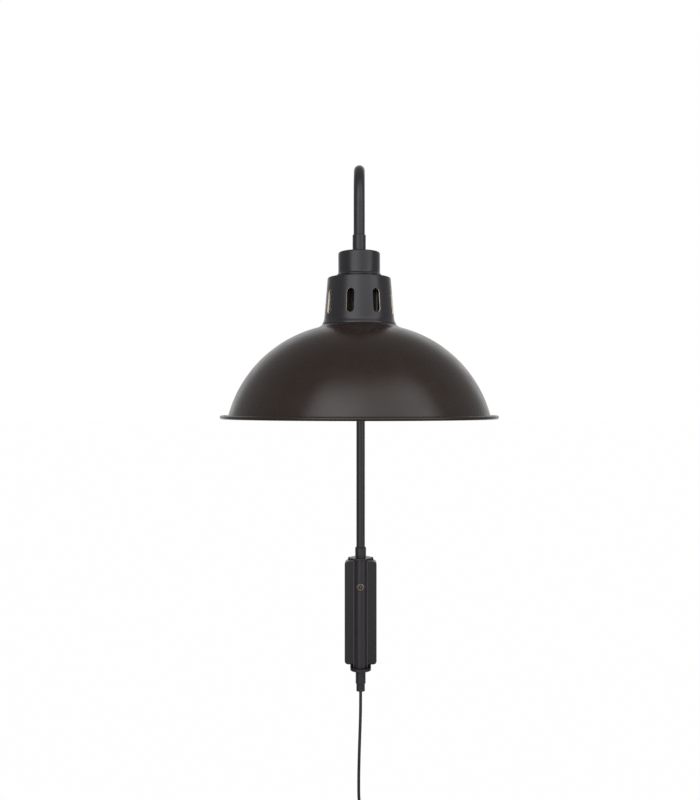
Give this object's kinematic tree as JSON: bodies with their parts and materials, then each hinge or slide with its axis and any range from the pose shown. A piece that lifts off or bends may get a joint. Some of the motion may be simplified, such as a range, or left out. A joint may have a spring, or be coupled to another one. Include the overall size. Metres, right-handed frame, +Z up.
{
  "type": "swing-arm wall lamp",
  "caption": "Plug-in wall lamp: a hooped tube swivels in a slim wall body and carries a vented dome shade; the cord hangs from the tube's lower end.",
  "frame": {"origin": "middle of the wall plate's back face, on the wall", "axes": "+Z up, +Y into the wall, -Y towards the front, +X to the right seen from the front"},
  "size_m": [0.31, 0.499, 1.0115],
  "materials": {
    "body_paint": "satin charcoal powder coat",
    "arm_paint": "satin charcoal powder coat",
    "shade_paint": "satin charcoal lacquer",
    "dome_paint": "satin warm black lacquer, light inside",
    "plate_steel": "black paint",
    "dark_screw": "blackened steel",
    "bronze_screw": "bronze-brown plated steel",
    "black_nylon": "moulded",
    "brass": "plain",
    "rivet_alu": "plain",
    "bakelite": "moulded",
    "ceramic": "glazed ceramic",
    "copper": "bare copper",
    "cord_pvc": "soft black sheath",
    "tie_strap": "hook-and-loop strap",
    "pin_metal": "nickel-plated brass"
  },
  "bodies": {
    "root": {"wall_plate": "plate_steel", "housing": "body_paint", "housing_screws": "dark_screw", "top_disc": "body_paint", "bottom_cup": "body_paint", "upper_bush": "black_nylon", "lower_bush": "black_nylon", "thrust_washer": "black_nylon", "friction_pad": "black_nylon", "cord": "cord_pvc", "cord_coil": "cord_pvc", "coil_tie": "tie_strap", "plug_body": "cord_pvc", "plug_pins": "pin_metal"},
    "clamp": {"clamp_screw": "bronze_screw"},
    "arm": {"arm_tube": "arm_paint", "upper_collar": "arm_paint", "lower_collar": "arm_paint", "front_collar": "arm_paint", "collar_grub_screws": "dark_screw", "nipple": "brass", "cap_nut": "brass", "shade_cap": "shade_paint", "vented_neck": "shade_paint", "dome_shade": "dome_paint", "neck_rivets": "rivet_alu", "holder_cap": "bakelite", "holder_sleeve": "bakelite", "holder_insert": "ceramic", "screw_shell": "brass", "centre_contact": "brass", "terminal_screws": "brass", "shade_ring": "bakelite", "inner_cable": "cord_pvc", "lead_wires": "copper", "cord_bush": "black_nylon"}
  },
  "joints": [
    {"name": "arm_swivel", "type": "hinge", "parent": "root", "child": "arm", "pos_m": [0, -0.024, 0], "axis": [0, 0, 1], "range_deg": [-65, 65]},
    {"name": "clamp_turn", "type": "hinge", "parent": "root", "child": "clamp", "pos_m": [0, -0.033, 0.0384], "axis": [0, -1, 0], "range_deg": [0, 180]}
  ]
}
